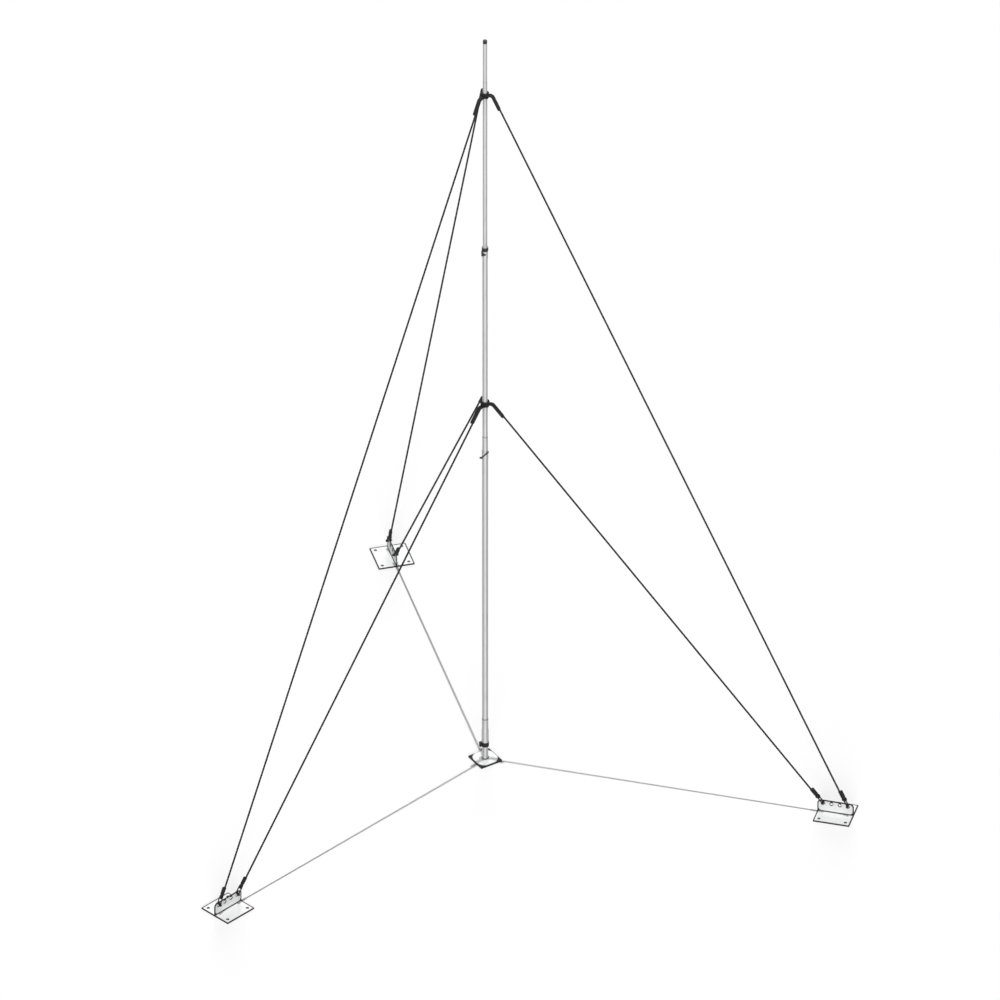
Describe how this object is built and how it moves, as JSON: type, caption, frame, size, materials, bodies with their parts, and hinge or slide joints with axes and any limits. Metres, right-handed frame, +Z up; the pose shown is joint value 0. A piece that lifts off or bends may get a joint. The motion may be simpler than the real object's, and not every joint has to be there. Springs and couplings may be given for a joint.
{
  "type": "guyed radio mast",
  "caption": "Slim tubular antenna mast in telescoping sections on a rubber-footed base, held by two levels of taut rope guys to perforated ground anchors.",
  "frame": {"origin": "on the mast's axis, at the underside of the base pad", "axes": "+Z up the mast; the front anchor lies along -Y, and the other two 120 degrees either side of it"},
  "size_m": [5.429, 4.7031, 7],
  "materials": {
    "mast_aluminium": "pale drawn tube with a fine lengthwise grain, satin",
    "galvanised_steel": "pale hot-dip zinc with a faint spangle, matt",
    "black_rope": "black three-strand laid rope",
    "black_rubber": "black moulded rubber, matt",
    "black_plastic": "black moulded plastic, finely textured",
    "blackened_steel": "blackened steel, slightly worn at the edges"
  },
  "bodies": {
    "root": {"antenna_spigot": "mast_aluminium", "back_anchor_fin": "galvanised_steel", "back_anchor_plate": "galvanised_steel", "base_collar": "blackened_steel", "base_collar_bolt": "blackened_steel", "base_pad": "black_rubber", "base_plate": "galvanised_steel", "base_sleeve": "mast_aluminium", "foot_tube": "mast_aluminium", "front_anchor_fin": "galvanised_steel", "front_anchor_plate": "galvanised_steel", "lower_boot_back": "black_rubber", "lower_boot_front": "black_rubber", "lower_boot_right": "black_rubber", "lower_eye_clamps": "black_rubber", "lower_guy_back": "black_rope", "lower_guy_front": "black_rope", "lower_guy_right": "black_rope", "lower_guy_stop": "mast_aluminium", "lower_joint_ferrule": "mast_aluminium", "lower_joint_gland": "mast_aluminium", "lower_joint_lever": "black_plastic", "lower_shackle_pins": "blackened_steel", "lower_shackles": "blackened_steel", "lower_thimbles": "blackened_steel", "lower_tube": "mast_aluminium", "middle_tube": "mast_aluminium", "right_anchor_fin": "galvanised_steel", "right_anchor_plate": "galvanised_steel", "top_cap": "black_plastic", "top_tube": "mast_aluminium", "upper_boot_back": "black_rubber", "upper_boot_front": "black_rubber", "upper_boot_right": "black_rubber", "upper_eye_clamps": "black_rubber", "upper_guy_back": "black_rope", "upper_guy_front": "black_rope", "upper_guy_right": "black_rope", "upper_guy_stop": "mast_aluminium", "upper_joint_lever": "black_plastic", "upper_joint_ring": "black_plastic", "upper_joint_socket": "mast_aluminium", "upper_shackle_pins": "blackened_steel", "upper_shackles": "blackened_steel", "upper_thimbles": "blackened_steel"}
  },
  "joints": []
}
